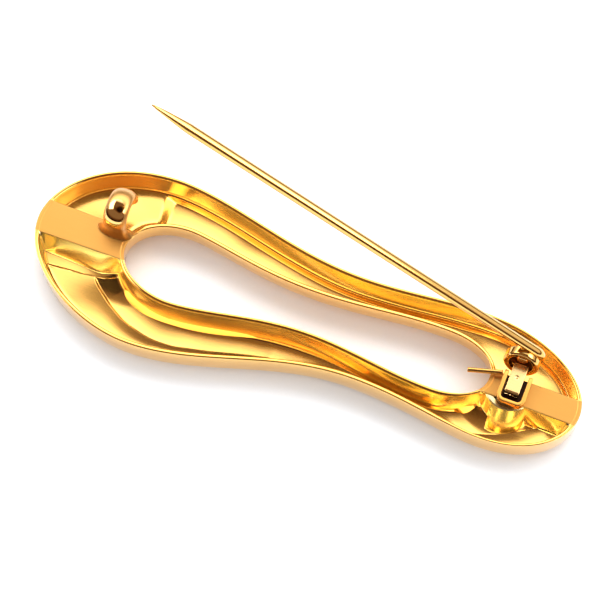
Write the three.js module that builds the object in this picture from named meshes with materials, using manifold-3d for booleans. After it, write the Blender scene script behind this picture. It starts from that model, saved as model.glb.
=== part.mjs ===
// A waisted open-loop brooch, lying on its face with its hollow back up and its pin swung open.
// Millimetres. +X runs along the loop from the broad end to the hinge end, +Z out of the back.
// The origin is under the middle of the loop, on the surface that its face rests on.
import * as THREE from 'three';
import Module from 'manifold-3d';
import { mergeVertices } from 'three/addons/utils/BufferGeometryUtils.js';

const wasm = await Module();
wasm.setup();

// The loop in plan
const LOOP_LENGTH = 58.8;
const BROAD_END_WIDTH = 18.7;
const WAIST_WIDTH = 10.8;
const HINGE_END_WIDTH = 12.7;
const OPENING_LENGTH = 39.4;
const OPENING_BROAD_WIDTH = 7.9;
const OPENING_WAIST_WIDTH = 4.3;
const OPENING_HINGE_WIDTH = 6.3;

// The casting's section
const BODY_HEIGHT = 4.2;
const RIM_WIDTH = 0.45;
const FACET_LEAST = 0.1;
const WALL_LEAN = 0.3;
const WALL_DEPTH = 2.3;
const GROOVE_DEPTH = 3.2;
const GROOVE_SLOPE = 0.5;
const COVE_WIDTH = 0.3;
const COVE_RISE = 0.15;
const COVE_SAG = 0.05;
const OUTER_SKIRT = 2.9;
const INNER_SKIRT = 2.3;
const REST_FLAT = 0.9;

// The two pads that cross the channel, level with the rim
const CATCH_PAD_WIDTH = 3.8;
const CATCH_PAD_Y = 0.45;
const HINGE_PAD_WIDTH = 2.7;
const HINGE_PAD_Y = -0.45;
const BOSS_TOP_RADIUS = 2.75;
const BOSS_FOOT_RADIUS = 3.0;
const BOSS_LEAN = 2.0;
const BOSS_DROP = 0.15;
const BOSS_INSET = 7.45;
const BOSS_Y = 0.1;

// The raised floor beside the catch, and how it ends in a step across the channel
const LEDGE_DEPTH = 2.45;
const LEDGE_END = 0.168;
const LEDGE_SKEW = 14;
const LEDGE_RAMP = 0.5;

// The pin and its eye
const WIRE_DIAMETER = 1.0;
const PIN_STRAIGHT = 47.03;
const POINT_LENGTH = 4.2;
const POINT_BLUNT = 0.09;
const OPEN_ANGLE = 33.2;
const EYE_DIAMETER = 3.65;
const EYE_BEVEL = 0.15;
const EYE_DEPTH = 1.0;
const EYE_SKEW = 12;
const EYE_FLAT_RADIUS = 0.75;
const CUP_DIAMETER = 2.55;
const CUP_LIP = 0.05;
const CUP_DEPTH = 0.8;
const EYE_FLOOR_SHARE = 0.85;
const NEEDLE_OFFSET = 1.86;
const WRAP_RADIUS = 1.3;
const WRAP_ANGLE = 82;
const WRAP_OVERLAP = 0.15;

// The hinge
const HINGE_INSET = 7.2;
const HINGE_RISE = 1.2;
const EYE_FRONT_Y = 1.85;
const RIVET_DIAMETER = 0.8;
const RIVET_HEAD_DIAMETER = 1.3;
const RIVET_HEAD_THICKNESS = 0.3;
const LEAF_WIDTH = 1.5;
const LEAF_THICKNESS = 0.8;
const LEAF_NOSE_THICKNESS = 0.35;
const LEAF_NOSE_LENGTH = 0.7;
const LEAF_IN_CUP = 0.25;
const BOX_INSET = 7.0;
const BOX_TO_EYE = 4.15;
const BOX_WALL = 0.42;
const BOX_HEIGHT = 0.95;
const BOX_CORNER = 0.8;
const BOX_REACH = 3.35;
const LEAF_NEAR_GAP = 0.75;
const SLOT_GAP = 0.3;
const STOP_DIAMETER = 0.5;
const STOP_LENGTH = 3.6;
const STOP_YAW = 16;
const STOP_Y = 0.75;

// The catch
const CATCH_INSET = 8.1;
const HOOK_WIDTH = 2.5;
const HOOK_FOOT_WIDTH = 4.0;
const HOOK_THICKNESS = 0.95;
const HOOK_HOLLOW = 2.3;
const HOOK_TIP_ANGLE = 38;
const HOOK_FOOT_HEIGHT = 1.1;
const HOOK_LEG = 1.65;
const HOOK_SET_BACK = 0.2;
const HOOK_CROWN_SHARE = 0.62;

// Clearances and the fineness of the mesh
const CONTACT_GAP = 0.1;
const RUNNING_GAP = 0.15;
const ARM_STEPS = 28;
const END_STEPS = 20;

const rad = THREE.MathUtils.degToRad;
const HALF = LOOP_LENGTH / 2;
const RIM_Z = BODY_HEIGHT;

// A value that eases from station to station, each station being a place and a value.
function along(stations, place) {
  const last = stations.length - 1;
  if (place <= stations[0][0]) return stations[0][1];
  if (place >= stations[last][0]) return stations[last][1];
  const next = stations.findIndex(([at]) => at > place);
  const [from, a] = stations[next - 1];
  const [to, b] = stations[next];
  const ease = (1 - Math.cos(Math.PI * (place - from) / (to - from))) / 2;
  return a + (b - a) * ease;
}

// Both outlines of the ring: a round end, the broad part, the waist, the hinge part, a round end.
// The places along the loop are shares of half its length, and the sway bends the centre line.
const outerOutline = {
  ends: [-HALF, HALF],
  at: [-0.558 * HALF, 0.2 * HALF, 0.656 * HALF],
  half: [BROAD_END_WIDTH / 2, WAIST_WIDTH / 2, HINGE_END_WIDTH / 2],
  pull: 0.93,
  round: [1.9, 2.0],
  sway: [[-HALF, 0.3], [-0.374 * HALF, -0.42], [0.374 * HALF, 0.41], [HALF, -0.6]],
};
const innerOutline = {
  ends: [-OPENING_LENGTH / 2, OPENING_LENGTH / 2],
  at: [-0.7 * OPENING_LENGTH / 2, 0.04 * OPENING_LENGTH / 2, 0.72 * OPENING_LENGTH / 2],
  half: [OPENING_BROAD_WIDTH / 2, OPENING_WAIST_WIDTH / 2, OPENING_HINGE_WIDTH / 2],
  pull: 0.8,
  round: [2.0, 2.2],
  sway: [[-OPENING_LENGTH / 2, 0.2], [-0.5 * OPENING_LENGTH / 2, -0.05],
    [0.15 * OPENING_LENGTH / 2, 0.2], [OPENING_LENGTH / 2, 0]],
};

function halfWidth(outline, x) {
  const { ends, at, half, pull, round } = outline;
  if (x <= ends[0] || x >= ends[1]) return 0;
  if (x < at[0]) {
    const t = (at[0] - x) / (at[0] - ends[0]);
    return half[0] * (1 - t ** round[0]) ** (1 / round[0]);
  }
  if (x > at[2]) {
    const t = (x - at[2]) / (ends[1] - at[2]);
    return half[2] * (1 - t ** round[1]) ** (1 / round[1]);
  }
  if (x < at[1]) {
    const t = ((x - at[0]) / (at[1] - at[0])) ** pull;
    return half[1] + (half[0] - half[1]) * (1 + Math.cos(Math.PI * t)) / 2;
  }
  return along([[at[1], half[1]], [at[2], half[2]]], x);
}

// How far a ray from (x0, 0) reaches before it crosses an outline.
function reach(outline, x0, dir) {
  let near = 0;
  let far = HALF * 2;
  for (let i = 0; i < 40; i++) {
    const r = (near + far) / 2;
    const x = x0 + dir.x * r;
    const y = dir.y * r - along(outline.sway, x);
    if (Math.abs(y) < halfWidth(outline, x)) near = r;
    else far = r;
  }
  return near;
}

// The rays that the ring's sections stand on: parallel along the arms, fanned round the ends,
// anticlockwise from the far arm's broad end.
const FAN_BROAD = -0.47 * HALF;
const FAN_HINGE = 0.51 * HALF;
function sectionRays() {
  const rays = [];
  const add = (x0, angle) => rays.push({ x0, dir: new THREE.Vector2(Math.cos(angle), Math.sin(angle)) });
  for (let i = 0; i < END_STEPS; i++) add(FAN_BROAD, Math.PI / 2 + Math.PI * i / END_STEPS);
  for (let i = 0; i < ARM_STEPS; i++) {
    add(FAN_BROAD + (FAN_HINGE - FAN_BROAD) * i / ARM_STEPS, Math.PI * 1.5);
  }
  for (let i = 0; i < END_STEPS; i++) add(FAN_HINGE, -Math.PI / 2 + Math.PI * i / END_STEPS);
  for (let i = 0; i < ARM_STEPS; i++) {
    add(FAN_HINGE + (FAN_BROAD - FAN_HINGE) * i / ARM_STEPS, Math.PI / 2);
  }
  return rays;
}

const sections = sectionRays().map(({ x0, dir }) => {
  const rOut = reach(outerOutline, x0, dir);
  const rIn = reach(innerOutline, x0, dir);
  const outer = new THREE.Vector2(x0 + dir.x * rOut, dir.y * rOut);
  const inward = dir.clone().negate();
  return { outer, inward, width: rOut - rIn, near: outer.y < 0, x: outer.x };
});

// The face's ridge runs along the ring, nearer the outer edge beside the waist.
const ridge = [[-HALF, 0.52], [-0.5 * HALF, 0.42], [0.2 * HALF, 0.36], [HALF, 0.5]];
const crestAt = (s) => s.width * along(ridge, s.x);

// Inside, a crescent facet lies along the outer wall and a groove along the inner one. The share
// of the width where they meet is given along the near side and the far side.
const nearCrease = [[-0.96 * HALF, 0.66], [-0.8 * HALF, 0.56], [-0.62 * HALF, 0.385],
  [-0.36 * HALF, 0.28], [-0.17 * HALF, 0.12], [0.45 * HALF, 0.12], [0.72 * HALF, 0.31], [HALF, 0.29]];
const farCrease = [[-HALF, 0.2], [0.5 * HALF, 0.2], [0.72 * HALF, 0.3], [HALF, 0.3]];
const creaseShare = (s) => along(s.near ? nearCrease : farCrease, s.x);

// The groove fades out where it runs up to the pads.
const nearGroove = [[-0.97 * HALF, 0], [-0.84 * HALF, 1], [0.9 * HALF, 1], [0.99 * HALF, 0.1]];
const farGroove = [[-HALF, 1], [0.82 * HALF, 1], [0.97 * HALF, 0]];
const grooveShare = (s) => along(s.near ? nearGroove : farGroove, s.x);

// Height of the face above the surface it rests on, at a distance from the outer edge.
function faceHeight(s, t) {
  const crest = crestAt(s);
  const flat = REST_FLAT / 2;
  if (Math.abs(t - crest) <= flat) return 0;
  const outside = t < crest;
  const edge = BODY_HEIGHT - (outside ? OUTER_SKIRT : INNER_SKIRT);
  const span = outside ? crest - flat : s.width - crest - flat;
  const away = outside ? (crest - flat - t) / span : (t - crest - flat) / span;
  return edge * away ** 1.5;
}

function outsideProfile(s) {
  const crest = crestAt(s);
  const flat = REST_FLAT / 2;
  const points = [[0, RIM_Z]];
  for (const share of [0, 0.3, 0.65, 1]) points.push([(crest - flat) * share, 0]);
  for (const share of [0, 0.35, 0.7, 1]) {
    points.push([crest + flat + (s.width - crest - flat) * share, 0]);
  }
  for (let i = 1; i < points.length; i++) points[i][1] = faceHeight(s, points[i][0]);
  points.push([s.width, RIM_Z]);
  return points;
}

// The channel's section, open at the top: leaning walls, the facet, the groove.
const CHANNEL_TOP = RIM_Z + RIM_WIDTH;
function channelProfile(s) {
  const foot = RIM_WIDTH + WALL_LEAN;
  const far = s.width - foot;
  const crease = Math.max(foot + FACET_LEAST, s.width * creaseShare(s));
  const grooveZ = RIM_Z - THREE.MathUtils.lerp(LEDGE_DEPTH, GROOVE_DEPTH, grooveShare(s));
  const grooveStart = crease + GROOVE_SLOPE;
  return [
    [RIM_WIDTH, CHANNEL_TOP],
    [RIM_WIDTH, RIM_Z],
    [foot, RIM_Z - WALL_DEPTH],
    [crease, RIM_Z - LEDGE_DEPTH],
    [grooveStart, grooveZ],
    [(grooveStart + far) / 2, grooveZ - COVE_SAG],
    [far - COVE_WIDTH, grooveZ + COVE_RISE],
    [far, RIM_Z - WALL_DEPTH],
    [s.width - RIM_WIDTH, RIM_Z],
    [s.width - RIM_WIDTH, CHANNEL_TOP],
  ];
}

// Closed ring through the profiles of all sections, faces out.
function ringGeometry(profile) {
  const rows = sections.map((s) => profile(s).map(([t, z]) => {
    const p = s.outer.clone().addScaledVector(s.inward, t);
    return [p.x, p.y, z];
  }));
  const count = rows[0].length;
  const index = [];
  rows.forEach((row, i) => {
    const next = ((i + 1) % rows.length) * count;
    for (let j = 0; j < count; j++) {
      const k = (j + 1) % count;
      index.push(i * count + j, i * count + k, next + j, i * count + k, next + k, next + j);
    }
  });
  const geometry = new THREE.BufferGeometry();
  geometry.setAttribute('position', new THREE.Float32BufferAttribute(rows.flat(2), 3));
  geometry.setIndex(index);
  return geometry;
}

function toSolid(geometry, matrix) {
  const bare = geometry.clone();
  bare.deleteAttribute('normal');
  bare.deleteAttribute('uv');
  if (matrix) bare.applyMatrix4(matrix);
  const merged = mergeVertices(bare, 1e-5);
  const triVerts = new Uint32Array(merged.index.array);
  const vertProperties = new Float32Array(merged.attributes.position.array);
  return new wasm.Manifold(new wasm.Mesh({ numProp: 3, vertProperties, triVerts }));
}

function toGeometry(solid) {
  const mesh = solid.getMesh();
  const geometry = new THREE.BufferGeometry();
  geometry.setAttribute('position', new THREE.Float32BufferAttribute(mesh.vertProperties, 3));
  geometry.setIndex(Array.from(mesh.triVerts));
  geometry.computeVertexNormals();
  return geometry;
}

const place = (x, y, z, rx = 0, ry = 0, rz = 0) => new THREE.Matrix4().compose(
  new THREE.Vector3(x, y, z),
  new THREE.Quaternion().setFromEuler(new THREE.Euler(rx, ry, rz)),
  new THREE.Vector3(1, 1, 1),
);

const HINGE_X = HALF - HINGE_INSET;
const HINGE_Z = RIM_Z + HINGE_RISE;
const BOX_X = HALF - BOX_INSET;
const BOX_NEAR_Y = EYE_FRONT_Y - BOX_TO_EYE;
const CATCH_X = -HALF + CATCH_INSET;

// The casting: ring, hollow back, pads, boss and the step beside the catch.
function makeLoop() {
  const pad = (x, y, width) => toSolid(new THREE.BoxGeometry(HALF, width, BODY_HEIGHT * 2),
    place(x, y, BODY_HEIGHT));
  const boss = new THREE.CylinderGeometry(BOSS_TOP_RADIUS, BOSS_FOOT_RADIUS, BODY_HEIGHT, 32);
  boss.rotateX(Math.PI / 2);
  boss.applyMatrix4(new THREE.Matrix4().makeShear(0, 0, 0, 0, 0, BOSS_LEAN / BODY_HEIGHT));
  const bossAt = place(HALF - BOSS_INSET, BOSS_Y - BOSS_LEAN / 2, RIM_Z - BOSS_DROP - BODY_HEIGHT / 2);
  const nearSide = toSolid(new THREE.BoxGeometry(HALF, HALF, BODY_HEIGHT * 4),
    place(HINGE_X, HINGE_PAD_Y + HINGE_PAD_WIDTH / 2 - HALF / 2, 0));
  const ledgeX = -HALF + LOOP_LENGTH * LEDGE_END;
  const ledgeZ = RIM_Z - LEDGE_DEPTH;
  const ledgeSide = new THREE.Shape([
    [-LOOP_LENGTH, -BODY_HEIGHT], [LEDGE_RAMP * 2, -BODY_HEIGHT], [0, 0], [-LOOP_LENGTH, 0],
  ].map(([x, z]) => new THREE.Vector2(x, z)));
  const ledgeSpan = BROAD_END_WIDTH * 2;
  const farSide = toSolid(new THREE.BoxGeometry(LOOP_LENGTH * 2, ledgeSpan, BODY_HEIGHT * 4),
    place(0, CATCH_PAD_Y + ledgeSpan / 2, 0));
  const ledgeBar = new THREE.ExtrudeGeometry(ledgeSide, { depth: ledgeSpan, bevelEnabled: false });
  ledgeBar.translate(0, 0, -ledgeSpan / 2);
  ledgeBar.rotateX(Math.PI / 2);
  const ledge = toSolid(ledgeBar, place(ledgeX, CATCH_PAD_Y, ledgeZ, 0, 0, rad(-LEDGE_SKEW)))
    .intersect(farSide);
  const channel = toSolid(ringGeometry(channelProfile))
    .subtract(pad(-HALF, CATCH_PAD_Y, CATCH_PAD_WIDTH))
    .subtract(pad(HALF, HINGE_PAD_Y, HINGE_PAD_WIDTH))
    .subtract(toSolid(boss, bossAt).intersect(nearSide))
    .subtract(ledge);
  return toGeometry(toSolid(ringGeometry(outsideProfile)).subtract(channel));
}

// The catch: a half-round band that stands on the pad and curls over, open to the far side.
// Its middle line is a straight leg, then an arc past the top; each station has the line's point,
// the direction of the band's outer face, its half width and its thickness.
const HOOK_RADIUS = (HOOK_HOLLOW + HOOK_THICKNESS) / 2;
const HOOK_FOOT_Z = RIM_Z + CONTACT_GAP;
const HOOK_CENTRE_Z = HOOK_FOOT_Z + HOOK_LEG;
const PIN_Y = EYE_FRONT_Y + EYE_DEPTH + WIRE_DIAMETER / 2 - WRAP_OVERLAP;
const HOOK_CENTRE_Y = PIN_Y - HOOK_SET_BACK;
const LEG_STEPS = 6;
const CURL_STEPS = 22;
const TIP_STEPS = 4;
function hookStations() {
  const stations = [];
  for (let i = 0; i < LEG_STEPS; i++) {
    const up = HOOK_LEG * i / LEG_STEPS;
    const flare = Math.max(0, 1 - up / HOOK_FOOT_HEIGHT) ** 1.6;
    stations.push({
      y: HOOK_CENTRE_Y - HOOK_RADIUS,
      z: HOOK_FOOT_Z + up,
      out: [-1, 0],
      half: THREE.MathUtils.lerp(HOOK_WIDTH, HOOK_FOOT_WIDTH, flare) / 2,
      thick: HOOK_THICKNESS * (1 + 0.35 * flare),
    });
  }
  const sweep = Math.PI + rad(HOOK_TIP_ANGLE);
  for (let i = 0; i <= CURL_STEPS; i++) {
    const a = Math.PI - sweep * i / CURL_STEPS;
    const out = [Math.cos(a), Math.sin(a)];
    const tip = Math.max(0, 1 - (CURL_STEPS - i) / TIP_STEPS);
    const rounding = Math.sqrt(1 - (tip * 0.93) ** 2);
    stations.push({
      y: HOOK_CENTRE_Y + HOOK_RADIUS * out[0],
      z: HOOK_CENTRE_Z + HOOK_RADIUS * out[1],
      out,
      half: HOOK_WIDTH / 2 * rounding,
      thick: HOOK_THICKNESS * (0.45 + 0.55 * rounding),
    });
  }
  return stations;
}

function makeCatch() {
  const sides = 14;
  const rings = hookStations().map(({ y, z, out, half, thick }) => {
    const ring = [];
    for (let j = 0; j < sides; j++) {
      const a = 2 * Math.PI * j / sides;
      const share = Math.sin(a) > 0 ? HOOK_CROWN_SHARE : 1 - HOOK_CROWN_SHARE;
      const lift = Math.sin(a) * thick * share;
      ring.push([CATCH_X + Math.cos(a) * half, y + out[0] * lift, z + out[1] * lift]);
    }
    return ring;
  });
  const index = [];
  const last = (rings.length - 1) * sides;
  for (let from = 0; from < last; from += sides) {
    for (let j = 0; j < sides; j++) {
      const k = (j + 1) % sides;
      const to = from + sides;
      index.push(from + j, to + j, from + k, from + k, to + j, to + k);
    }
  }
  for (let j = 1; j < sides - 1; j++) index.push(0, j, j + 1, last, last + j + 1, last + j);
  const geometry = new THREE.BufferGeometry();
  geometry.setAttribute('position', new THREE.Float32BufferAttribute(rings.flat(2), 3));
  geometry.setIndex(index);
  return geometry;
}

// The hinge box: a low U-shaped wall with round corners, its slot open towards the pin's eye.
function makeHingeBox() {
  const inner = LEAF_WIDTH / 2 + SLOT_GAP;
  const outer = inner + BOX_WALL;
  const cornerIn = BOX_CORNER - BOX_WALL;
  const shape = new THREE.Shape();
  shape.moveTo(outer, BOX_REACH);
  shape.lineTo(inner, BOX_REACH);
  shape.lineTo(inner, BOX_CORNER);
  shape.absarc(inner - cornerIn, BOX_WALL + cornerIn, cornerIn, 0, -Math.PI / 2, true);
  shape.absarc(-inner + cornerIn, BOX_WALL + cornerIn, cornerIn, -Math.PI / 2, -Math.PI, true);
  shape.lineTo(-inner, BOX_REACH);
  shape.lineTo(-outer, BOX_REACH);
  shape.absarc(-outer + BOX_CORNER, BOX_CORNER, BOX_CORNER, Math.PI, Math.PI * 1.5, false);
  shape.absarc(outer - BOX_CORNER, BOX_CORNER, BOX_CORNER, Math.PI * 1.5, Math.PI * 2, false);
  shape.closePath();
  const geometry = new THREE.ExtrudeGeometry(shape,
    { depth: BOX_HEIGHT, bevelEnabled: false, curveSegments: 6 });
  geometry.translate(BOX_X, BOX_NEAR_Y, RIM_Z + CONTACT_GAP);
  return geometry;
}

// The leaf: a flat tongue that lies in the slot and reaches into the pin's eye.
const LEAF_NEAR_Y = BOX_NEAR_Y + BOX_WALL + LEAF_NEAR_GAP;
function makeLeaf() {
  const length = EYE_FRONT_Y + LEAF_IN_CUP - LEAF_NEAR_Y;
  const step = length - LEAF_NOSE_LENGTH;
  const side = new THREE.Shape([
    [0, 0], [step, 0], [step, LEAF_THICKNESS - LEAF_NOSE_THICKNESS],
    [length, LEAF_THICKNESS - LEAF_NOSE_THICKNESS], [length, LEAF_THICKNESS], [0, LEAF_THICKNESS],
  ].map(([y, z]) => new THREE.Vector2(y, z)));
  const geometry = new THREE.ExtrudeGeometry(side, { depth: LEAF_WIDTH, bevelEnabled: false });
  geometry.rotateX(Math.PI / 2);
  geometry.rotateZ(Math.PI / 2);
  geometry.translate(BOX_X - LEAF_WIDTH / 2, LEAF_NEAR_Y, RIM_Z + CONTACT_GAP);
  return geometry;
}

// The rivet: the hinge's axle, its head in the bottom of the cup.
const CUP_FLOOR_Y = EYE_FRONT_Y + CUP_DEPTH;
function makeRivet() {
  const back = EYE_DEPTH - CUP_DEPTH + RUNNING_GAP;
  const headR = RIVET_HEAD_DIAMETER / 2;
  const shankR = RIVET_DIAMETER / 2;
  const profile = [
    [0, -RIVET_HEAD_THICKNESS - RUNNING_GAP],
    [headR * 0.7, -RIVET_HEAD_THICKNESS * 0.8 - RUNNING_GAP],
    [headR, -RUNNING_GAP - CUP_LIP],
    [headR, -RUNNING_GAP],
    [shankR, -RUNNING_GAP],
    [shankR, back],
    [0, back],
  ].map(([r, y]) => new THREE.Vector2(r, y));
  const geometry = new THREE.LatheGeometry(profile, 20);
  geometry.translate(HINGE_X, CUP_FLOOR_Y, HINGE_Z);
  return geometry;
}

// The pin: a round eye with a cup in its face, the wire wrapped over it, and a long fine point.
// Outside the bore the eye is skewed, so that its cup faces a little upwards.
function makePin() {
  const eyeR = EYE_DIAMETER / 2;
  const cupR = CUP_DIAMETER / 2;
  const boreR = RIVET_DIAMETER / 2 + RUNNING_GAP;
  const eyeProfile = [
    [boreR, CUP_DEPTH], [cupR * EYE_FLOOR_SHARE, CUP_DEPTH], [cupR, CUP_DEPTH * 0.7], [cupR, CUP_LIP],
    [cupR + CUP_LIP, 0], [eyeR - EYE_BEVEL, 0], [eyeR, EYE_BEVEL], [eyeR, EYE_DEPTH - EYE_BEVEL],
    [eyeR - EYE_BEVEL, EYE_DEPTH], [boreR, EYE_DEPTH], [boreR, CUP_DEPTH],
  ].map(([r, y]) => new THREE.Vector2(r, y));
  const eyeTurned = new THREE.LatheGeometry(eyeProfile, 28);
  const points = eyeTurned.attributes.position;
  for (let i = 0; i < points.count; i++) {
    const r = Math.hypot(points.getX(i), points.getZ(i));
    const share = THREE.MathUtils.smoothstep(r, EYE_FLAT_RADIUS, cupR * EYE_FLOOR_SHARE);
    points.setY(i, points.getY(i) + points.getZ(i) * share * Math.tan(rad(EYE_SKEW)));
  }
  const eye = toSolid(eyeTurned, place(0, EYE_FRONT_Y, 0));

  const wireR = WIRE_DIAMETER / 2;
  const steps = 9;
  const wrapFrom = Math.PI / 2 - rad(OPEN_ANGLE);
  const bendX = (NEEDLE_OFFSET - WRAP_RADIUS) * Math.cos(wrapFrom);
  const bendZ = (NEEDLE_OFFSET - WRAP_RADIUS) * Math.sin(wrapFrom);
  const arc = [];
  for (let i = 0; i <= steps; i++) {
    const a = wrapFrom - rad(WRAP_ANGLE) * (1 - i / steps);
    arc.push(new THREE.Vector3(bendX + WRAP_RADIUS * Math.cos(a), PIN_Y,
      bendZ + WRAP_RADIUS * Math.sin(a)));
  }
  const section = new THREE.Shape();
  section.absarc(0, 0, wireR, 0, Math.PI * 2, false);
  const wrap = toSolid(new THREE.ExtrudeGeometry(section,
    { steps: 12, curveSegments: 12, bevelEnabled: false, extrudePath: new THREE.CatmullRomCurve3(arc) }));
  const ball = toSolid(new THREE.SphereGeometry(wireR, 12, 8), place(arc[0].x, PIN_Y, arc[0].z));

  const shank = PIN_STRAIGHT - POINT_LENGTH;
  const needleProfile = [
    [0, 0], [wireR, 0], [wireR, shank], [wireR * 0.86, shank + POINT_LENGTH * 0.25],
    [wireR * 0.5, shank + POINT_LENGTH * 0.65], [POINT_BLUNT, PIN_STRAIGHT - POINT_BLUNT],
    [0, PIN_STRAIGHT],
  ].map(([r, y]) => new THREE.Vector2(r, y));
  const start = arc[steps];
  const needle = toSolid(new THREE.LatheGeometry(needleProfile, 16),
    place(start.x, PIN_Y, start.z, 0, rad(OPEN_ANGLE - 90), 0)
      .multiply(new THREE.Matrix4().makeRotationX(Math.PI / 2)));
  const join = toSolid(new THREE.SphereGeometry(wireR * 0.99, 12, 8), place(start.x, PIN_Y, start.z));
  const solid = eye.add(wrap).add(ball).add(join).add(needle);
  const geometry = toGeometry(solid);
  geometry.translate(HINGE_X, 0, HINGE_Z);
  return geometry;
}

// The stop wire: a short stiff wire from the box, over the end of the opening.
function makeStopWire() {
  const r = STOP_DIAMETER / 2;
  const geometry = new THREE.CylinderGeometry(r, r, STOP_LENGTH, 12);
  geometry.rotateZ(Math.PI / 2);
  geometry.translate(-STOP_LENGTH / 2, 0, 0);
  geometry.rotateZ(rad(STOP_YAW));
  const boxLeft = BOX_X - LEAF_WIDTH / 2 - SLOT_GAP - BOX_WALL;
  geometry.translate(boxLeft - CONTACT_GAP, STOP_Y, RIM_Z + CONTACT_GAP + BOX_HEIGHT / 2);
  return geometry;
}

const goldPlate = new THREE.MeshStandardMaterial({ color: '#e6ac45', roughness: 0.12, metalness: 1 });
const satinGold = new THREE.MeshStandardMaterial({ color: '#e3b060', roughness: 0.3, metalness: 1 });
const paleGold = new THREE.MeshStandardMaterial({ color: '#ecc36e', roughness: 0.18, metalness: 1 });

// Every piece moves by the same small step, which puts the outline's middle over the origin.
const middle = new THREE.Box2().setFromPoints(sections.map((s) => s.outer))
  .getCenter(new THREE.Vector2());

const brooch = new THREE.Group();
function addPiece(name, geometry, material) {
  geometry.translate(-middle.x, -middle.y, 0);
  const mesh = new THREE.Mesh(geometry, material);
  mesh.name = name;
  brooch.add(mesh);
}
addPiece('loop_body', makeLoop(), goldPlate);
addPiece('catch_hook', makeCatch(), goldPlate);
addPiece('hinge_box', makeHingeBox(), satinGold);
addPiece('hinge_leaf', makeLeaf(), satinGold);
addPiece('rivet', makeRivet(), goldPlate);
addPiece('pin', makePin(), paleGold);
addPiece('stop_wire', makeStopWire(), goldPlate);

export default brooch;
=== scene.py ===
import math
import bmesh
import bpy
import numpy as np
from mathutils import Matrix, Vector


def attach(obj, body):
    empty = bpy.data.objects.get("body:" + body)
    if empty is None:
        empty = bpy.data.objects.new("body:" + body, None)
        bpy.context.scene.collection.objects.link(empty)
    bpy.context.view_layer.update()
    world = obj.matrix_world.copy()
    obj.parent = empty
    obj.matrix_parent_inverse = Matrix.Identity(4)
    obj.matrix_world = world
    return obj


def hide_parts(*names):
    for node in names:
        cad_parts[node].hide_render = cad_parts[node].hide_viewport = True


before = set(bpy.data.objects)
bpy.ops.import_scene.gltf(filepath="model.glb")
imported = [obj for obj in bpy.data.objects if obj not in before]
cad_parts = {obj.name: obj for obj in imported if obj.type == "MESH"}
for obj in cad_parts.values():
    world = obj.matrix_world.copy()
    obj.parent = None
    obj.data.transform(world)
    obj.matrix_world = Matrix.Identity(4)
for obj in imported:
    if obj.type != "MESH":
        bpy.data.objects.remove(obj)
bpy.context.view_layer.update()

# The loop: one brass casting, waisted and open in the middle, hollow at the back and rounded at
# the face. It was cast, polished and gold plated, and the two bridges across its hollow back were
# brushed. The other pieces are fixed to it. Sizes are in millimetres, and MM turns them to metres.
MM = 0.001
LOOP_HALF = 29.4
RIM_TOP, RIM_WIDTH = 4.2, 0.45
OUTER_EDGE = dict(
    ends=(-29.4, 29.4), at=(-16.405, 5.88, 19.286), half=(9.35, 5.4, 6.35), pull=0.93,
    bend=(1.9, 2.0), sway=((-29.4, 0.3), (-11.0, -0.42), (11.0, 0.41), (29.4, -0.6)))
OPENING_EDGE = dict(
    ends=(-19.7, 19.7), at=(-13.79, 0.788, 14.184), half=(3.95, 2.15, 3.15), pull=0.8,
    bend=(2.0, 2.2), sway=((-19.7, 0.2), (-9.85, -0.05), (2.955, 0.2), (19.7, 0.0)))

# The edges are drawn about a middle of their own, and the frame's origin lies at LOOP_MIDDLE. The
# sections of each end fan out from a point on the loop's axis.
LOOP_MIDDLE = np.array((-0.0177, -0.2780))
FAN_BROAD, FAN_HINGE = -13.818, 14.994


def eased(stations, place):
    """A value at a place between (place, value) stations, level at each station."""
    places = [p for p, _ in stations]
    if place <= places[0]:
        return stations[0][1]
    if place >= places[-1]:
        return stations[-1][1]
    k = next(i for i, p in enumerate(places) if p > place)
    (p0, v0), (p1, v1) = stations[k - 1], stations[k]
    return v0 + (v1 - v0) * (1 - math.cos(math.pi * (place - p0) / (p1 - p0))) / 2


def half_width(edge, x):
    """Half the width that an edge encloses at x: two round ends and a waist between them."""
    (x0, x1), at, half = edge["ends"], edge["at"], edge["half"]
    if not x0 < x < x1:
        return 0.0
    if x < at[0]:
        t, n = (at[0] - x) / (at[0] - x0), edge["bend"][0]
        return half[0] * (1 - t ** n) ** (1 / n)
    if x > at[2]:
        t, n = (x - at[2]) / (x1 - at[2]), edge["bend"][1]
        return half[2] * (1 - t ** n) ** (1 / n)
    if x < at[1]:
        t = ((x - at[0]) / (at[1] - at[0])) ** edge["pull"]
        return half[1] + (half[0] - half[1]) * (1 + math.cos(math.pi * t)) / 2
    return eased(((at[1], half[1]), (at[2], half[2])), x)


def on_edge(edge, x0, degrees):
    """Where a ray from (x0, 0) crosses an edge of the loop in plan."""
    dx, dy = math.cos(math.radians(degrees)), math.sin(math.radians(degrees))
    near, far = 0.0, LOOP_HALF * 2
    for _ in range(44):
        r = (near + far) / 2
        inside = abs(dy * r - eased(edge["sway"], x0 + dx * r)) < half_width(edge, x0 + dx * r)
        near, far = (r, far) if inside else (near, r)
    return np.array((x0 + dx * near, dy * near))


def warp(pairs, value):
    """A value read off straight lines between pairs."""
    return float(np.interp(value, [a for a, _ in pairs], [b for _, b in pairs]))


# Sections run across the metal from the outer edge to the opening's edge. Round the ends they
# lean, so that the bridges' edges and the step beside the catch each lie along a section.
BROAD_LEAN = ((90, 90), (112.8, 137.2), (118.5, 143.4), (171.0, 157.9), (171.7, 159.5),
              (185.4, 194.3), (189.2, 198.9), (232.6, 212.0), (270, 270))
HINGE_LEAN = ((-90, -90), (-11.0, -33.0), (-7.3, -22.7), (3.6, 11.3), (4.3, 13.2), (90, 90))

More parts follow.
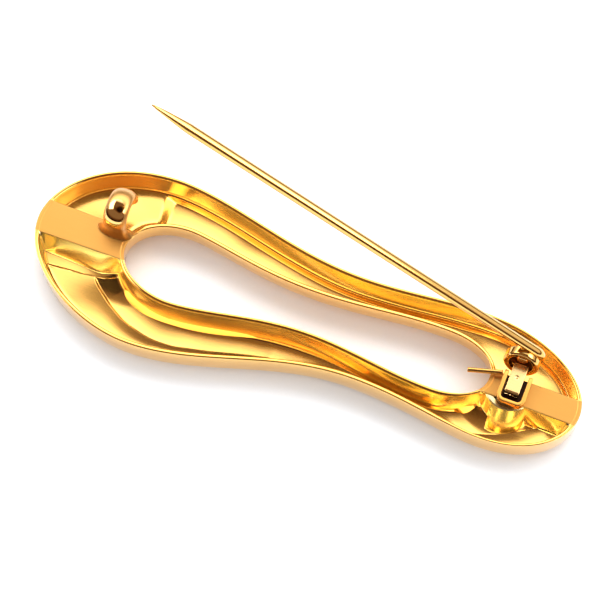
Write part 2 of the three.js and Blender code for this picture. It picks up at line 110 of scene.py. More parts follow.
# Each bridge's edge: the outer angles where its wall's foot and top stand. BEVEL is a wall from
# top to foot, as shares of its run and its drop, with a small round at both. The step beside the
# catch lies between two outer angles, and the sections stand closest along it.
BROAD_BRIDGE = ((171.0, 171.7), (189.2, 185.4))
HINGE_BRIDGE = ((-11.0, -7.3), (4.3, 3.6))
BEVEL = ((0.0, 0.0), (0.012, 0.004), (0.028, 0.016), (0.05, 0.035), (0.09, 0.07), (0.3, 0.3),
         (0.5, 0.51), (0.7, 0.72), (0.86, 0.89), (0.92, 0.95), (0.96, 0.985), (1.0, 1.0))
STEP_BY_CATCH = (109.6, 120.4)
STEP_RUN = (109.4, 120.8)

# The foot of the broad bridge's near wall bends away from the bridge, up to the groove's corner.
BEND_AT = ((0.0, 0.0), (0.31, -0.26), (0.66, -0.74), (0.72, -0.79), (0.77, -0.74), (1.0, 0.0))
BEND_FADE = 224.0


def section_places():
    """Every section as (end, outer angle or x, how far it has dropped from the bridge's top)."""
    places = []

    def run(end, a, b, spacing, drop=1.0):
        number = max(2, int(abs(b - a) / spacing) + 1)
        places.extend((end, v, drop) for v in np.linspace(a, b, number))

    def wall(end, top, foot, downwards):
        steps = [(end, top + (foot - top) * at, drop) for at, drop in BEVEL]
        places.extend(steps if downwards else reversed(steps))

    (far_foot, far_top), (near_foot, near_top) = BROAD_BRIDGE
    run("broad", 90, STEP_RUN[0] - 0.4, 1.1)
    run("broad", *STEP_RUN, 0.3)
    run("broad", STEP_RUN[1] + 0.6, far_foot - 0.5, 1.1)
    wall("broad", far_top, far_foot, False)
    run("broad", far_top + 0.5, near_top - 0.5, 1.1, 0.0)
    wall("broad", near_top, near_foot, True)
    run("broad", near_foot + 0.3, 232.6, 0.8)
    run("broad", 233.4, 270, 1.0)
    run("near", FAN_BROAD + 0.25, FAN_HINGE - 0.25, 0.25)
    (near_foot, near_top), (far_foot, far_top) = HINGE_BRIDGE
    run("hinge", -90, near_foot - 0.5, 1.0)
    wall("hinge", near_top, near_foot, False)
    run("hinge", near_top + 0.5, far_top - 0.5, 1.0, 0.0)
    wall("hinge", far_top, far_foot, True)
    run("hinge", far_foot + 0.5, 90, 1.1)
    run("far", FAN_HINGE - 0.25, FAN_BROAD + 0.25, 0.25)
    return places


def section_line(end, value):
    """A section's two ends in plan, on the outer edge and on the opening's edge."""
    if end in ("broad", "hinge"):
        fan, lean = (FAN_BROAD, BROAD_LEAN) if end == "broad" else (FAN_HINGE, HINGE_LEAN)
        return on_edge(OUTER_EDGE, fan, value), on_edge(OPENING_EDGE, fan, warp(lean, value))
    angle = -90 if end == "near" else 90
    return on_edge(OUTER_EDGE, value, angle), on_edge(OPENING_EDGE, value, angle)


def through(points, steps=8):
    """A smooth line through the given points."""
    p = [np.array(q, float) for q in points]
    p = [2 * p[0] - p[1], *p, 2 * p[-1] - p[-2]]
    line = []
    for a, b, c, d in zip(p, p[1:], p[2:], p[3:]):
        for k in range(steps):
            t = k / steps
            line.append(0.5 * (2 * b + (c - a) * t + (2 * a - 5 * b + 4 * c - d) * t ** 2
                               + (3 * b - a - 3 * c + d) * t ** 3))
    return [*line, p[-2]]


# The sharp edge between the outer facet and the groove, in plan, at both ends of the near arm.
NEAR_CREASE = through((
    (-22.13, -2.6), (-21.9, -3.2), (-21.35, -3.95), (-20.54, -4.69), (-19.7, -5.35), (-18.72, -5.97),
    (-17.6, -6.6), (-16.41, -7.02), (-15.1, -7.36), (-13.67, -7.55), (-11.8, -7.5), (-10.7, -7.3),
    (-8.1, -6.75), (-5.0, -5.9), (-2.0, -5.2)))
HINGE_CREASE = through((
    (13.0, -6.0), (16.0, -5.95), (19.0, -5.6), (21.6, -4.8), (23.5, -4.0), (24.3, -3.4), (25.9, -2.5)))


def crossing(a, b, line):
    """How far from a, along the way to b, a section crosses a line drawn in plan."""
    length = np.linalg.norm(b - a)
    along = (b - a) / length
    for p, q in zip(line, line[1:]):
        side = q - p
        cross = along[0] * side[1] - along[1] * side[0]
        if abs(cross) < 1e-9:
            continue
        t = ((p - a)[0] * side[1] - (p - a)[1] * side[0]) / cross
        u = ((p - a)[0] * along[1] - (p - a)[1] * along[0]) / cross
        if 0 <= u <= 1 and 0 < t < length:
            return t
    return None


def rounded(points, steps=5):
    """The points (t, z, r): each corner becomes a short curve that starts r before it."""
    out = []
    for i, (t, z, r) in enumerate(points):
        p = np.array((t, z))
        if r == 0 or i in (0, len(points) - 1):
            out.append(p)
            continue
        before, after = np.array(points[i - 1][:2]), np.array(points[i + 1][:2])
        a = p + (before - p) * min(0.49, r / np.linalg.norm(before - p))
        b = p + (after - p) * min(0.49, r / np.linalg.norm(after - p))
        for k in range(steps):
            u = k / (steps - 1)
            out.append(a * (1 - u) ** 2 + p * 2 * u * (1 - u) + b * u ** 2)
    return out


# Heights are drops below the rims' tops. The bridges lie just below the rims, which frame them. The
# floors tilt a little across the loop, sag in the middle, and wave slightly, as cast metal does.
FACET_DROP, GROOVE_DROP, BRIDGE_DROP = 2.45, 3.25, 0.06
OUTER_SKIRT, INNER_SKIRT = RIM_TOP - 2.9, RIM_TOP - 2.3
WALL_FOOT, GROOVE_RUN = 0.75, 0.36
RIM_ROUND_OUT, RIM_ROUND_IN = 0.1, 0.24
FAR_TILT, NEAR_TILT, FACET_TILT = -0.045, -0.03, 0.02
FACET_SAG, GROOVE_SAG, WAVE = 0.07, 0.09, 0.045
RIDGE = ((-29.4, 0.52), (-14.7, 0.42), (5.88, 0.36), (29.4, 0.5))
RIDGE_HALF = 0.45

# Where a section's points stand: shares of the facet, of the run down from the crease and of the
# groove. In a rim's 11 points, the first 6 lead up to its inner round and the last 2 are wall.
FACET_AT = (0.03, 0.07, 0.12, 0.19, 0.28, 0.4, 0.54, 0.68, 0.8, 0.89, 0.95, 0.985, 1.0)
RUN_AT = (0.06, 0.16, 0.32, 0.52, 0.76, 1.0)
GROOVE_AT = (0.05, 0.1, 0.16, 0.23, 0.31, 0.39, 0.47, 0.55, 0.63, 0.71, 0.78, 0.84, 0.89, 0.925,
             0.95, 0.97, 0.985)
RIM_POINTS, BEFORE_ROUND, BEFORE_WALL = 11, 6, 9


def cove(away, width, rise):
    """How much a floor rises towards a wall that is so far away."""
    return rise * (1 - max(away, 0) / width) ** 2.4 if away < width else 0.0


# The near groove begins with a hollow ramp, at a line from the bridge's foot to the opening's wall.
RAMP_FROM, RAMP_TO = np.array((-22.13, -2.75)), np.array((-19.6, -1.6))
RAMP_LENGTH = 3.7


def ramp_share(p):
    """How much of the groove's depth the ramp has reached at a point in plan."""
    way = (RAMP_TO - RAMP_FROM) / np.linalg.norm(RAMP_TO - RAMP_FROM)
    away = float((p - RAMP_FROM) @ np.array((way[1], -way[0])))
    return 1 - (1 - min(max(away / RAMP_LENGTH, 0), 1)) ** 1.7


def channel_shape(end, value, a, b):
    """The hollow at a section: where its crease is, its groove's share and its coves' sizes."""
    crease, groove = None, 1.0
    outer_cove, inner_cove = (0.35, 0.15), (0.45, 0.25)
    if end == "broad" and value > 180:
        crease = crossing(a, b, NEAR_CREASE)
    elif end == "near":
        crease = crossing(a, b, NEAR_CREASE if value < 0 else HINGE_CREASE)
        outer_cove = (0.6, 0.35)
    elif end == "hinge" and value < 0:
        crease = crossing(a, b, HINGE_CREASE)
        groove = eased(((-40.0, 1.0), (-11.0, 0.55)), value)
    elif end == "broad":
        groove = eased(((STEP_BY_CATCH[0], 1.0), (STEP_BY_CATCH[1], 0.0)), value)
        outer_cove = (0.25, 0.12)
        inner_cove = (0.45 + 0.7 * (1 - groove), 0.3 + 0.9 * (1 - groove))
        if value > 116:
            inner_cove = (1.15, 1.2)
    elif end == "hinge":
        groove = eased(((4.3, 0.7), (40.0, 1.0)), value)
    return max(crease or 0.0, WALL_FOOT + 0.3), groove, outer_cove, inner_cove


def loop_section(end, value, drop):
    """One section of the casting: its points in plan with their heights, and what each belongs to."""
    a, b = section_line(end, value)
    width = np.linalg.norm(b - a)
    along = (b - a) / width
    crease, groove, outer_cove, inner_cove = channel_shape(end, value, a, b)
    far = width - WALL_FOOT
    crease = min(crease, far - GROOVE_RUN - 0.4)
    middle = (a[1] + b[1]) / 2
    tilt, facet_tilt = (NEAR_TILT, FACET_TILT) if a[1] < 0 else (FAR_TILT, FAR_TILT)

    def floor(t):
        z = RIM_TOP - FACET_DROP + facet_tilt * (a[1] + along[1] * min(t, crease) - middle)
        z += tilt * along[1] * max(t - crease, 0)
        if t > crease:
            q = min((t - crease) / GROOVE_RUN, 1)
            ramp = ramp_share(a + along * t) if end == "broad" and value > 180 else 1.0
            z -= (GROOVE_DROP - FACET_DROP) * groove * ramp * (1 - (1 - q) ** 2.6)
            u = (t - (crease + far) / 2) / max((far - crease) / 2, 0.2)
            z -= GROOVE_SAG * groove * (1 - u * u)
        else:
            z -= FACET_SAG * math.sin(math.pi * (t - WALL_FOOT) / (crease - WALL_FOOT))
        x, y = a + along * t
        z += WAVE * math.sin(0.62 * x + 0.6) * math.cos(0.7 * y + 0.3)
        return z + cove(t - WALL_FOOT, *outer_cove) + cove(far - t, *inner_cove)

    crest = width * eased(RIDGE, a[0])

    def face(t):
        if abs(t - crest) <= RIDGE_HALF:
            return 0.0
        if t < crest:
            return OUTER_SKIRT * ((crest - RIDGE_HALF - t) / (crest - RIDGE_HALF)) ** 1.5
        return INNER_SKIRT * ((t - crest - RIDGE_HALF) / (width - crest - RIDGE_HALF)) ** 1.5

    outer_rim = rounded([(0.0, OUTER_SKIRT + 0.25, 0), (0.0, RIM_TOP, RIM_ROUND_OUT),
                         (RIM_WIDTH, RIM_TOP, RIM_ROUND_IN), (WALL_FOOT, floor(WALL_FOOT), 0)])
    inner_rim = rounded([(far, floor(far), 0), (width - RIM_WIDTH, RIM_TOP, RIM_ROUND_IN),
                         (width, RIM_TOP, RIM_ROUND_OUT), (width, INNER_SKIRT + 0.22, 0)])
    floor_at = [WALL_FOOT + (crease - WALL_FOOT) * u for u in FACET_AT]
    floor_at += [crease + GROOVE_RUN * u for u in RUN_AT]
    floor_at += [crease + GROOVE_RUN + (far - crease - GROOVE_RUN) * u for u in GROOVE_AT]
    rim_zones = ["plate"] * BEFORE_WALL + ["wall"] * (RIM_POINTS - BEFORE_WALL)
    upper = [(t, z, zone) for (t, z), zone in zip(outer_rim, rim_zones + ["hollow"])]
    upper += [(t, floor(t), "hollow") for t in floor_at]
    upper += [(t, z, zone) for (t, z), zone in zip(inner_rim, ["hollow"] + rim_zones[::-1])]
    for i, (t, z, zone) in enumerate(upper):
        if BEFORE_ROUND <= i < len(upper) - BEFORE_ROUND:
            z = RIM_TOP + (z - RIM_TOP) * drop
        if BEFORE_WALL <= i < len(upper) - BEFORE_WALL:
            z -= BRIDGE_DROP * (1 - drop)
        upper[i] = (t, z, zone)
    under = [(width - 0.03, INNER_SKIRT + 0.07, "plate")]
    under += [(t, face(t), "plate") for t in np.linspace(width - 0.13, crest + RIDGE_HALF, 12)]
    under += [(t, face(t), "plate") for t in np.linspace(crest - RIDGE_HALF, 0.15, 13)]
    under.append((0.03, OUTER_SKIRT + 0.1, "plate"))

    near_foot, near_top = BROAD_BRIDGE[1]
    bend = 0.0
    if end == "broad":
        bend = warp(((near_top, 0.0), (near_foot, 1.0), (BEND_FADE, 0.0)), value)
    across = np.array((along[1], -along[0])) * (1 if along[0] > 0 else -1)
    points = []
    for i, (t, z, zone) in enumerate(upper + under):
        p = a + along * t
        if BEFORE_ROUND <= i < len(upper) - BEFORE_ROUND:
            p = p - across * warp(BEND_AT, t / width) * bend
        points.append((*(p - LOOP_MIDDLE), z, zone))
    return points


def grid_faces(row_count, count, closed_rows, first=0):
    """Quads between neighbouring rows of a grid whose every row is a closed ring."""
    faces = []
    for i in range(row_count if closed_rows else row_count - 1):
        here, there = first + i * count, first + ((i + 1) % row_count) * count
        for j in range(count):
            k = (j + 1) % count
            faces.append((here + j, there + j, there + k, here + k))
    return faces


def capped(rings, first=0):
    """Faces of a tube of rings, closed by a face at each end."""
    count = len(rings[0])
    last = first + (len(rings) - 1) * count
    ends = [tuple(range(first, first + count))[::-1], tuple(range(last, last + count))]
    return grid_faces(len(rings), count, False, first) + ends


places = section_places()
rows = [loop_section(*place) for place in places]
count = len(rows[0])
zones = []
for i, row in enumerate(rows):
    drops = places[i][2], places[(i + 1) % len(rows)][2]
    for j in range(count):
        here, there = row[j][3], row[(j + 1) % count][3]
        on_top = min(row[j][2], row[(j + 1) % count][2]) > RIM_TOP - 2 * BRIDGE_DROP
        if drops == (0, 0) and on_top:
            zones.append("bridge")
        elif "plate" in (here, there):
            zones.append("plate")
        else:
            zones.append("wall" if "wall" in (here, there) or drops[0] != drops[1] else "hollow")
vertices = [p[:3] for row in rows for p in row]
faces = grid_faces(len(rows), count, True)

# The boss under the hinge box: a stub cone cast into the near compartment, half sunk in the bridge.
# It leans towards the far side. Rays from its seed find its sides, the opening's wall and its end
# in the bridge. It starts under the floor, or higher where the opening's wall stands under it.
BOSS_MIDDLE, BOSS_SEED = np.array((21.95, 0.1)), np.array((21.95, -1.3))
BOSS_TOP, BOSS_RADIUS, BOSS_FLARE, BOSS_LEAN = 4.05, 2.75, 0.06, 0.476
BOSS_LOW, BOSS_LOW_BY_WALL, BOSS_END_Y = 0.9, 2.4, -0.6
BOSS_SIDES = 96
boss_levels = [0.0, 0.1, 0.25, 0.4, 0.55, 0.7, 0.82, 0.9, 0.94]
boss_edge = ((0.962, 0.0), (0.975, 0.005), (0.987, 0.018), (0.995, 0.04), (1.0, 0.075), (1.0, 0.12),
             (1.0, 0.2), (1.0, 0.5))


def boss_ring(level, inset):
    """The boss's outline at a share of its height, drawn in by an inset."""
    ring = []
    for k in range(BOSS_SIDES):
        angle = 2 * math.pi * k / BOSS_SIDES
        way = np.array((math.cos(angle), math.sin(angle)))
        near, far = 0.0, 6.0
        for _ in range(30):
            r = (near + far) / 2
            x, y = BOSS_SEED + way * r
            in_wall = abs(y - eased(OPENING_EDGE["sway"], x)) < half_width(OPENING_EDGE, x - 0.2)
            bottom = BOSS_LOW_BY_WALL if half_width(OPENING_EDGE, x - 1.1) > 0 else BOSS_LOW
            z = bottom + (BOSS_TOP - bottom) * level
            radius = BOSS_RADIUS + BOSS_FLARE * (BOSS_TOP - z) - inset
            off = np.linalg.norm((x, y) - BOSS_MIDDLE + (0, BOSS_LEAN * (BOSS_TOP - z)))
            inside = off < radius and y <= BOSS_END_Y and not in_wall
            near, far = (r, far) if inside else (near, r)
        x, y = BOSS_SEED + way * near - LOOP_MIDDLE
        ring.append((x, y, z))
    return ring


boss = [boss_ring(level, 0.0) for level in boss_levels] + [boss_ring(*edge) for edge in boss_edge]
boss_faces = capped(boss, len(vertices))
vertices += [p for ring in boss for p in ring]
faces += boss_faces
zones += ["wall"] * (len(boss_faces) - 1) + ["bridge"]


def solid(name, vertices, faces, *materials):
    """A mesh object from points and faces in millimetres, smooth, its faces turned outwards."""
    mesh = bpy.data.meshes.new(name)
    mesh.from_pydata([tuple(c * MM for c in v) for v in vertices], [], faces)
    mesh.update()
    if sum(f.area * f.normal.dot(f.center) for f in mesh.polygons) < 0:
        mesh.flip_normals()
    mesh.shade_smooth()
    for material in materials:
        mesh.materials.append(material)
    piece = bpy.data.objects.new(name, mesh)
    bpy.context.scene.collection.objects.link(piece)
    return piece


def node(tree, kind, links=(), **settings):
    """A node with its settings by name, and its inputs as pairs of a name and a value or socket."""
    made = tree.nodes.new(kind)
    for key, value in settings.items():
        setattr(made, key, value)
    for name, value in links:
        if isinstance(value, bpy.types.NodeSocket):
            tree.links.new(value, made.inputs[name])
        else:
            made.inputs[name].default_value = value
    return made


def colour(hexes):
    """An sRGB hex colour as linear numbers."""
    parts = [int(hexes[i:i + 2], 16) / 255 for i in (1, 3, 5)]
    return (*(p / 12.92 if p <= 0.04045 else ((p + 0.055) / 1.055) ** 2.4 for p in parts), 1.0)


# Gold plate over cast brass, under a clear lacquer. The plating's tone drifts a little over some
# 6 mm, the polished casting is uneven over 2 to 3 mm, and the polishing wheel leaves hair lines
# along the loop. The lines are drawn 0.15 mm apart, coarser than the real ones, which are too fine
# to show. Painted shade, where there is any, darkens the inside of a box given in millimetres: a
# dark brown that stands in for the shadow in the hinge box's slot.
def gold_plate(name, deep, pale, roughness, unevenness=0.3, hair=0.12, lacquer=0.6, painted_shade_box=None):
    """A finish: its two tones, how rough and uneven it is, and how deep its hair lines are."""
    material = bpy.data.materials.new(name)
    material.use_nodes = True
    tree = material.node_tree
    tree.nodes.clear()
    place = node(tree, "ShaderNodeTexCoord").outputs["Object"]
    drift = node(tree, "ShaderNodeTexNoise", (("Vector", place), ("Scale", 160.0), ("Detail", 2.0)))
    base = node(tree, "ShaderNodeMix", (
        ("Factor", drift.outputs["Fac"]), (6, colour(deep)), (7, colour(pale))),
        data_type="RGBA").outputs[2]
    swept = node(tree, "ShaderNodeMapping", (("Vector", place), ("Scale", (500.0, 6500.0, 6500.0))))
    hairs = node(tree, "ShaderNodeTexNoise", (
        ("Vector", swept.outputs["Vector"]), ("Scale", 1.0), ("Detail", 3.0)))
    rough = node(tree, "ShaderNodeMapRange", (
        ("Value", hairs.outputs["Fac"]), ("To Min", roughness * 0.8),
        ("To Max", roughness * 1.25))).outputs["Result"]
    # Painted shade: inside the box the colour fades to a dark brown, for the shadow in the hinge box's
    # slot.
    if painted_shade_box:
        at = node(tree, "ShaderNodeSeparateXYZ", (("Vector", place),))
        painted_shade = None
        for axis, low, high in zip("XYZ", *painted_shade_box):
            middle, half = (low + high) / 2, (high - low) / 2
            off = node(tree, "ShaderNodeMath", ((0, at.outputs[axis]), (1, middle * MM)),
                       operation="SUBTRACT")
            away = node(tree, "ShaderNodeMath", ((0, off.outputs[0]),), operation="ABSOLUTE")
            near = node(tree, "ShaderNodeMapRange", (
                ("Value", away.outputs[0]), ("From Min", half * MM),
                ("From Max", (half - PAINTED_SHADE_FADE) * MM)),
                interpolation_type="SMOOTHSTEP").outputs["Result"]
            painted_shade = near if painted_shade is None else node(
                tree, "ShaderNodeMath", ((0, painted_shade), (1, near)), operation="MULTIPLY").outputs[0]
        base = node(tree, "ShaderNodeMix", (
            ("Factor", painted_shade), (6, base), (7, colour(PAINTED_SHADE_COLOUR))), data_type="RGBA").outputs[2]
    waves = node(tree, "ShaderNodeTexNoise", (("Vector", place), ("Scale", 380.0), ("Detail", 1.0)))
    relief = node(tree, "ShaderNodeBump", (
        ("Height", waves.outputs["Fac"]), ("Strength", unevenness), ("Distance", 0.02 * MM)))
    lines = node(tree, "ShaderNodeBump", (
        ("Height", hairs.outputs["Fac"]), ("Strength", hair), ("Distance", 0.006 * MM),
        ("Normal", relief.outputs["Normal"])))
    surface = node(tree, "ShaderNodeBsdfPrincipled", (
        ("Base Color", base), ("Roughness", rough), ("Metallic", 1.0),
        ("Normal", lines.outputs["Normal"]), ("Coat Weight", lacquer), ("Coat Roughness", 0.12)))
    node(tree, "ShaderNodeOutputMaterial", (("Surface", surface.outputs["BSDF"]),))
    return material


# The rims and the face are polished bright. The hollow's floor shines but is less even, because it
# was only tumbled, and its walls are paler. The bridges are matt from the brush, and their deeper
# tone is painted shade: the same plating made darker, as the brushed metal looks dimmer. Painted
# shade also darkens the hinge's bridge between the walls of the box that stands on it, where the
# slot lies in shadow.
BOX_X, BOX_NEAR_Y, BOX_WALL, BOX_REACH, SLOT_HALF = 22.4, -2.3, 0.42, 3.35, 1.05
# Painted shade in the slot: its colour, its fade, how far it reaches under the walls, and its heights.
PAINTED_SHADE_COLOUR, PAINTED_SHADE_FADE, PAINTED_SHADE_UNDER_WALL, PAINTED_SHADE_Z = "#2a1405", 0.12, 0.05, (3.9, 4.5)
painted_shade_from = (BOX_X - SLOT_HALF - PAINTED_SHADE_UNDER_WALL - LOOP_MIDDLE[0],
             BOX_NEAR_Y + BOX_WALL - LOOP_MIDDLE[1], PAINTED_SHADE_Z[0])
painted_shade_to = (BOX_X + SLOT_HALF + PAINTED_SHADE_UNDER_WALL - LOOP_MIDDLE[0],
           BOX_NEAR_Y + BOX_REACH - LOOP_MIDDLE[1], PAINTED_SHADE_Z[1])
finishes = {
    "plate": gold_plate("polished gold plate", "#fcc35e", "#ffca68", 0.085, lacquer=0.5),
    "hollow": gold_plate("tumbled gold plate in the hollow", "#f9ba56", "#ffc462", 0.19, 0.8, 0.2, 0.8),
    # Painted shade: the bridges' gold is darker than the same plating elsewhere, as brushed metal looks
    # dimmer.
    "bridge": gold_plate("brushed gold plate on the bridges", "#cc9246", "#d29a4e", 0.42, 0.1, 0.4, 0.1,
                         painted_shade_box=(painted_shade_from, painted_shade_to)),
    "wall": gold_plate("polished gold plate on the hollow's walls", "#fae4a0", "#ffefb2", 0.2, 0.22,
                       0.15, 0.4)}
loop = solid("loop_casting", vertices, faces, *finishes.values())
for polygon, zone in zip(loop.data.polygons, zones):
    polygon.material_index = list(finishes).index(zone)
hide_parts("loop_body")
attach(loop, "brooch")

# The catch: a half-round band of brass that stands on the broad bridge and curls over the pin, open
# to the far side. It was bent and filed by hand, brazed to the bridge, and gold plated. Its dome has
# a mirror oval with a duller, darker finish round it: this is painted reflection, the oval and its
# dark surround copying the reflection that the dome shows.
CATCH_X, CATCH_Y, SEAT_Z = -21.3, 3.0, 4.3
HOOK_LEG, HOOK_RADIUS, HOOK_SWEEP = 1.65, 1.625, 218.0
HOOK_HALF, HOOK_THICKNESS, CROWN_SHARE = 1.25, 0.95, 0.68
HOOK_FOOT_HALF, FOOT_HEIGHT, FOOT_THICKER = 2.0, 1.1, 0.35
HOOK_TIP_TURN, HOOK_TIP_ROUND, HOOK_TIP_THIN = 39.6, 0.97, 0.65
LEG_STEPS, CURL_STEPS, HOOK_SIDES = 24, 90, 56


def hook_ring(y, z, out, half, thick):
    """A section of the band: a domed outer face and a flatter inner one."""
    ring = []
    for k in range(HOOK_SIDES):
        angle = 2 * math.pi * k / HOOK_SIDES
        c, s = math.cos(angle), math.sin(angle)
        share = CROWN_SHARE if s > 0 else 1 - CROWN_SHARE
        lift = math.copysign(abs(s) ** (1.0 if s > 0 else 0.75), s) * thick * share
        ring.append((CATCH_X + c * half - LOOP_MIDDLE[0],
                     y + out[0] * lift - LOOP_MIDDLE[1], z + out[1] * lift))
    return ring


hook = []
for i in range(LEG_STEPS):
    up = HOOK_LEG * i / LEG_STEPS
    flare = max(0.0, 1 - up / FOOT_HEIGHT) ** 1.6
    hook.append(hook_ring(CATCH_Y - HOOK_RADIUS, SEAT_Z + up, (-1, 0),
                          HOOK_HALF + (HOOK_FOOT_HALF - HOOK_HALF) * flare,
                          HOOK_THICKNESS * (1 + FOOT_THICKER * flare)))
for i in range(CURL_STEPS + 1):
    turn = HOOK_SWEEP * i / CURL_STEPS
    angle = math.radians(180 - turn)
    out = (math.cos(angle), math.sin(angle))
    tip = max(0.0, 1 - (HOOK_SWEEP - turn) / HOOK_TIP_TURN)
    rounding = math.sqrt(1 - (HOOK_TIP_ROUND * tip) ** 2)
    hook.append(hook_ring(CATCH_Y + HOOK_RADIUS * out[0], SEAT_Z + HOOK_LEG + HOOK_RADIUS * out[1], out,
                          HOOK_HALF * rounding,
                          HOOK_THICKNESS * (1 - HOOK_TIP_THIN + HOOK_TIP_THIN * rounding)))
# Painted reflection: the darker brushed tone round the oval and the mirror inside it give the dome's
# reflection its shape.
brushed_shaded_gold = gold_plate("brushed gold plate round the catch's dome", "#d69c52", "#e0a85e", 0.3, 0.2,
                          0.3, 0.3)
reflection_oval_gold = gold_plate("mirror polished gold plate", "#f6c272", "#facb7c", 0.03, 0.12, 0.04, 0.3)
catch = solid("catch_curl", [p for ring in hook for p in ring], capped(hook), brushed_shaded_gold, reflection_oval_gold)

# The mirror is an oval on the outer face, a painted reflection: so many degrees round the curl, and a
# share of its width.
DOME_TURN, DOME_HALF_TURN, DOME_SHARE = 51.0, 43.0, 0.76
for i, polygon in enumerate(catch.data.polygons):
    row, k = divmod(i, HOOK_SIDES)
    across = math.cos(2 * math.pi * (k + 0.5) / HOOK_SIDES) / DOME_SHARE
    around = ((row - LEG_STEPS) * HOOK_SWEEP / CURL_STEPS - DOME_TURN) / DOME_HALF_TURN
    if k < HOOK_SIDES // 2 and across ** 2 + around ** 2 < 1:
        polygon.material_index = 1
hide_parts("catch_hook")
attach(catch, "brooch")

# The hinge box: a strip of brass bent into a U with round corners and soldered to the hinge bridge.
# It carries the leaf and the stop wire. It was barrel polished, and painted shade darkens its inside,
# where the slot lies in shadow.
BOX_HEIGHT, BOX_CORNER, CORNER_STEPS = 0.95, 0.8, 12
middle_out, middle_turn = SLOT_HALF + BOX_WALL / 2, BOX_CORNER - BOX_WALL / 2
down_a_leg = (0, 0.015, 0.04, 0.08, 0.12, 0.7, 1.4)
strip_path = [(middle_out, BOX_REACH - s) for s in down_a_leg]
for sign in (1, -1):
    centre = (sign * (middle_out - middle_turn), BOX_CORNER)
    for k in range(CORNER_STEPS + 1):
        turned_by = k / CORNER_STEPS if sign > 0 else 1 - k / CORNER_STEPS
        angle = math.radians(90 * turned_by)
        strip_path.append((centre[0] + sign * middle_turn * math.cos(angle),
                           centre[1] - middle_turn * math.sin(angle)))
strip_path += [(-middle_out, BOX_REACH - s) for s in reversed(down_a_leg)]

# The strip's two ends are rounded: each section there is drawn in by this much.
ends_in = (0.1, 0.06, 0.025, 0.005, 0.0)
strip = []
for i, (x, y) in enumerate(strip_path):
    before, after = strip_path[max(i - 1, 0)], strip_path[min(i + 1, len(strip_path) - 1)]
    way = np.array((after[0] - before[0], after[1] - before[1]))
    way = way / np.linalg.norm(way)
    outwards = np.array((way[1], -way[0]))
    end = min(i, len(strip_path) - 1 - i)
    inset = ends_in[end] if end < len(ends_in) else 0.0
    half, low, high = BOX_WALL / 2 - inset, inset, BOX_HEIGHT - inset
    corners = [(-half, low, 0.02), (half, low, 0.02), (half, high, 0.11), (-half, high, 0.08)]
    ring = rounded(corners + corners[:2], 6)[1:-1]
    strip.append([(BOX_X + x + outwards[0] * t - LOOP_MIDDLE[0],
                   BOX_NEAR_Y + y + outwards[1] * t - LOOP_MIDDLE[1], SEAT_Z + z) for t, z in ring])
barrel_gold = gold_plate("barrel polished gold plate", "#dc9c44", "#e6a850", 0.14, 0.2, 0.1, 0.3)
# Painted shade: a dark brown for the slot's inside and the eye's cup, where they lie in shadow.
painted_shade_brown = gold_plate("painted shade in the hinge box's slot and the eye's cup", "#3a1e0a", "#5a3010", 0.3, 0.4, 0.3, 0.1)
box = solid("hinge_box_strip", [p for ring in strip for p in ring], capped(strip), barrel_gold, painted_shade_brown)

# The faces that look into the slot, apart from the strip's two ends, take the painted shade.
slot_middle = Vector((BOX_X - LOOP_MIDDLE[0], BOX_NEAR_Y + 1.9 - LOOP_MIDDLE[1], 0)) * MM
for polygon in box.data.polygons:
    inwards = slot_middle - polygon.center
    inwards.z = 0
    inside = polygon.normal.dot(inwards.normalized()) > 0.4 and abs(polygon.normal.z) < 0.5
    if inside and polygon.center.y < (BOX_NEAR_Y + BOX_REACH - LOOP_MIDDLE[1] - 0.05) * MM:
        polygon.material_index = 1
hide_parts("hinge_box")
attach(box, "brooch")

# The leaf: a flat brass tongue that lies in the box's slot and reaches into the pin's eye. It was
# cut from strip, its near end rolled over, with a centre punch's mark in its top, and plated satin.
LEAF_HALF, LEAF_HEIGHT, LEAF_ROLL, LEAF_SIDEWAYS, LEAF_SET_BACK = 0.75, 0.8, 0.22, -0.1, 0.75
LEAF_NOSE, LEAF_NOSE_LIFT, LEAF_IN_CUP, EYE_FRONT_Y = 0.7, 0.45, 0.25, 1.85
PUNCH_ALONG, PUNCH_RADIUS, PUNCH_DEPTH = 1.75, 0.11, 0.07
leaf_near = BOX_NEAR_Y + BOX_WALL + LEAF_SET_BACK
leaf_length = EYE_FRONT_Y + LEAF_IN_CUP - leaf_near
top_across = (1.0, 0.9, 0.7, 0.5, 0.35, 0.22, 0.14, 0.07, 0.0)
top_across += tuple(-u for u in reversed(top_across[:-1]))
leaf_rows = []
leaf_steps = [0, 0.01, 0.03, 0.06, 0.1, 0.15, 0.21, 0.28, 0.36, 0.44, *np.arange(0.5, 2.5, 0.07),
              leaf_length - LEAF_NOSE - 0.01, leaf_length - LEAF_NOSE + 0.03, 2.75, 2.95, 3.08,
              leaf_length - 0.06, leaf_length - 0.03, leaf_length - 0.01, leaf_length]
